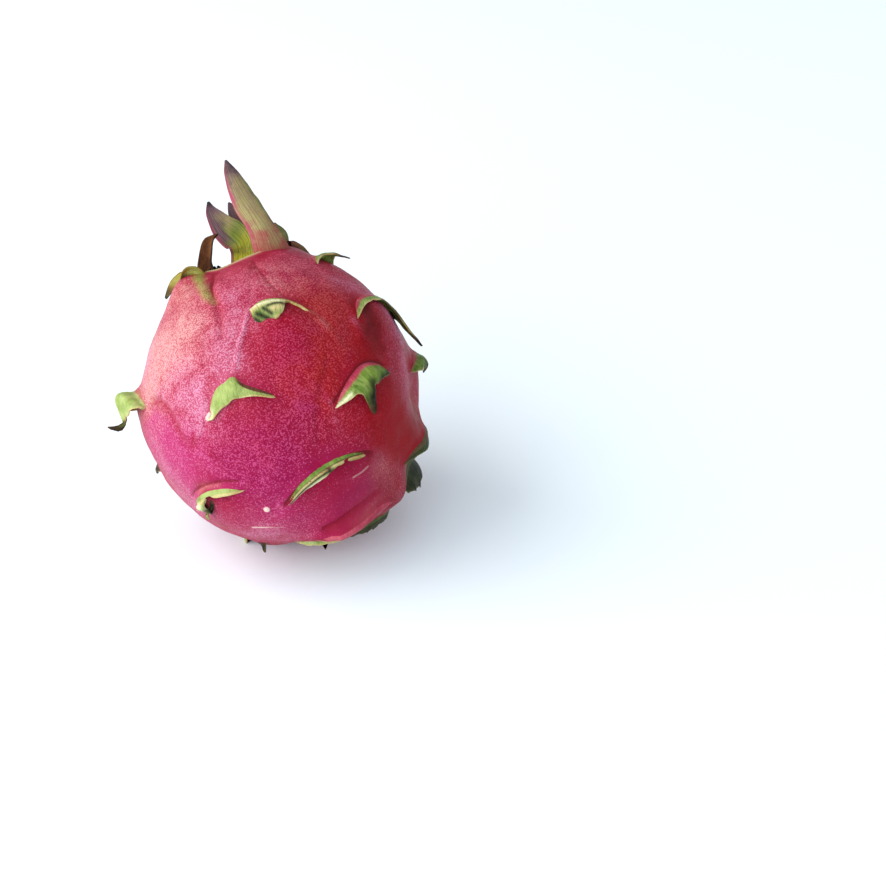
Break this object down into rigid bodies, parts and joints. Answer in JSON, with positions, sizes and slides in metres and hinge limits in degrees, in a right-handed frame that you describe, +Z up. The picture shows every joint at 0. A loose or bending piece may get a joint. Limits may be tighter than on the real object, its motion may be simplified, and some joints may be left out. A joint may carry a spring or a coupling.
{
  "type": "dragon fruit",
  "caption": "Whole red dragon fruit lying on its flank, with curled leafy scales on the rind and a crown of longer scales round the flower scar.",
  "frame": {"origin": "centre of the small flat spot that the fruit rests on", "axes": "+Z up, -Y towards the front of the fruit, +X to its right; the fruit's own axis leans back and to the left"},
  "size_m": [0.1019, 0.095, 0.1133],
  "materials": {
    "rind": "leathery waxy rind, satin, crimson to salmon pink with fine pale speckle, scales green to yellow-green with dry brown tips"
  },
  "bodies": {
    "root": {"dragon_fruit": "rind"}
  },
  "joints": []
}
